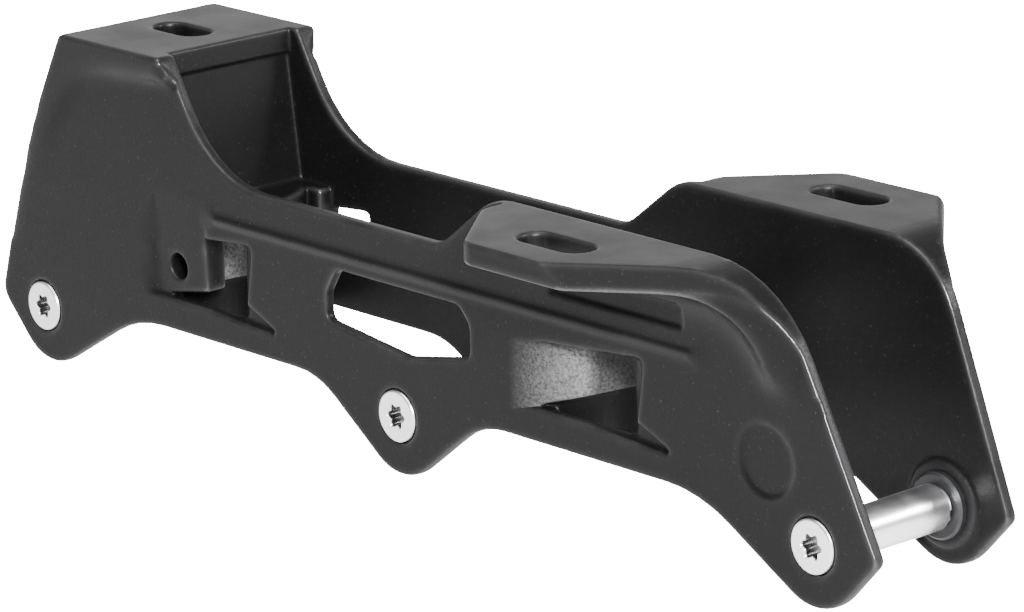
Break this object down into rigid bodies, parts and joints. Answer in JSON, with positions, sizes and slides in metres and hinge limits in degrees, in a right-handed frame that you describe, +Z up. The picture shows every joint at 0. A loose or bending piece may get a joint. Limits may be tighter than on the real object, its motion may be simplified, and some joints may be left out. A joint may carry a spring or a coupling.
{
  "type": "inline skate frame",
  "caption": "Cast inline skate frame with a slotted heel platform, staggered slotted front pads, open wheel bays and steel axles that draw out sideways.",
  "frame": {"origin": "under the middle of the frame's length and width, at the lowest points of the wall tips", "axes": "+X from heel to toe, +Y from the axles' head side to their threaded side, +Z up"},
  "size_m": [0.2287, 0.076, 0.0651],
  "materials": {
    "casting": "satin black coat on a die casting",
    "axles": "bright turned steel",
    "inserts": "dark oxide steel"
  },
  "bodies": {
    "frame": {"frame_casting": "casting", "insert_front": "inserts", "insert_middle": "inserts", "insert_rear": "inserts"},
    "front_axle": {"axle_front": "axles"},
    "middle_axle": {"axle_middle": "axles"},
    "rear_axle": {"axle_rear": "axles"}
  },
  "joints": [
    {"name": "front_axle_draw", "type": "slide", "parent": "frame", "child": "front_axle", "axis": [0, -1, 0], "range_m": [0, 0.04]},
    {"name": "middle_axle_draw", "type": "slide", "parent": "frame", "child": "middle_axle", "axis": [0, -1, 0], "range_m": [0, 0.04]},
    {"name": "rear_axle_draw", "type": "slide", "parent": "frame", "child": "rear_axle", "axis": [0, -1, 0], "range_m": [0, 0.04]}
  ]
}
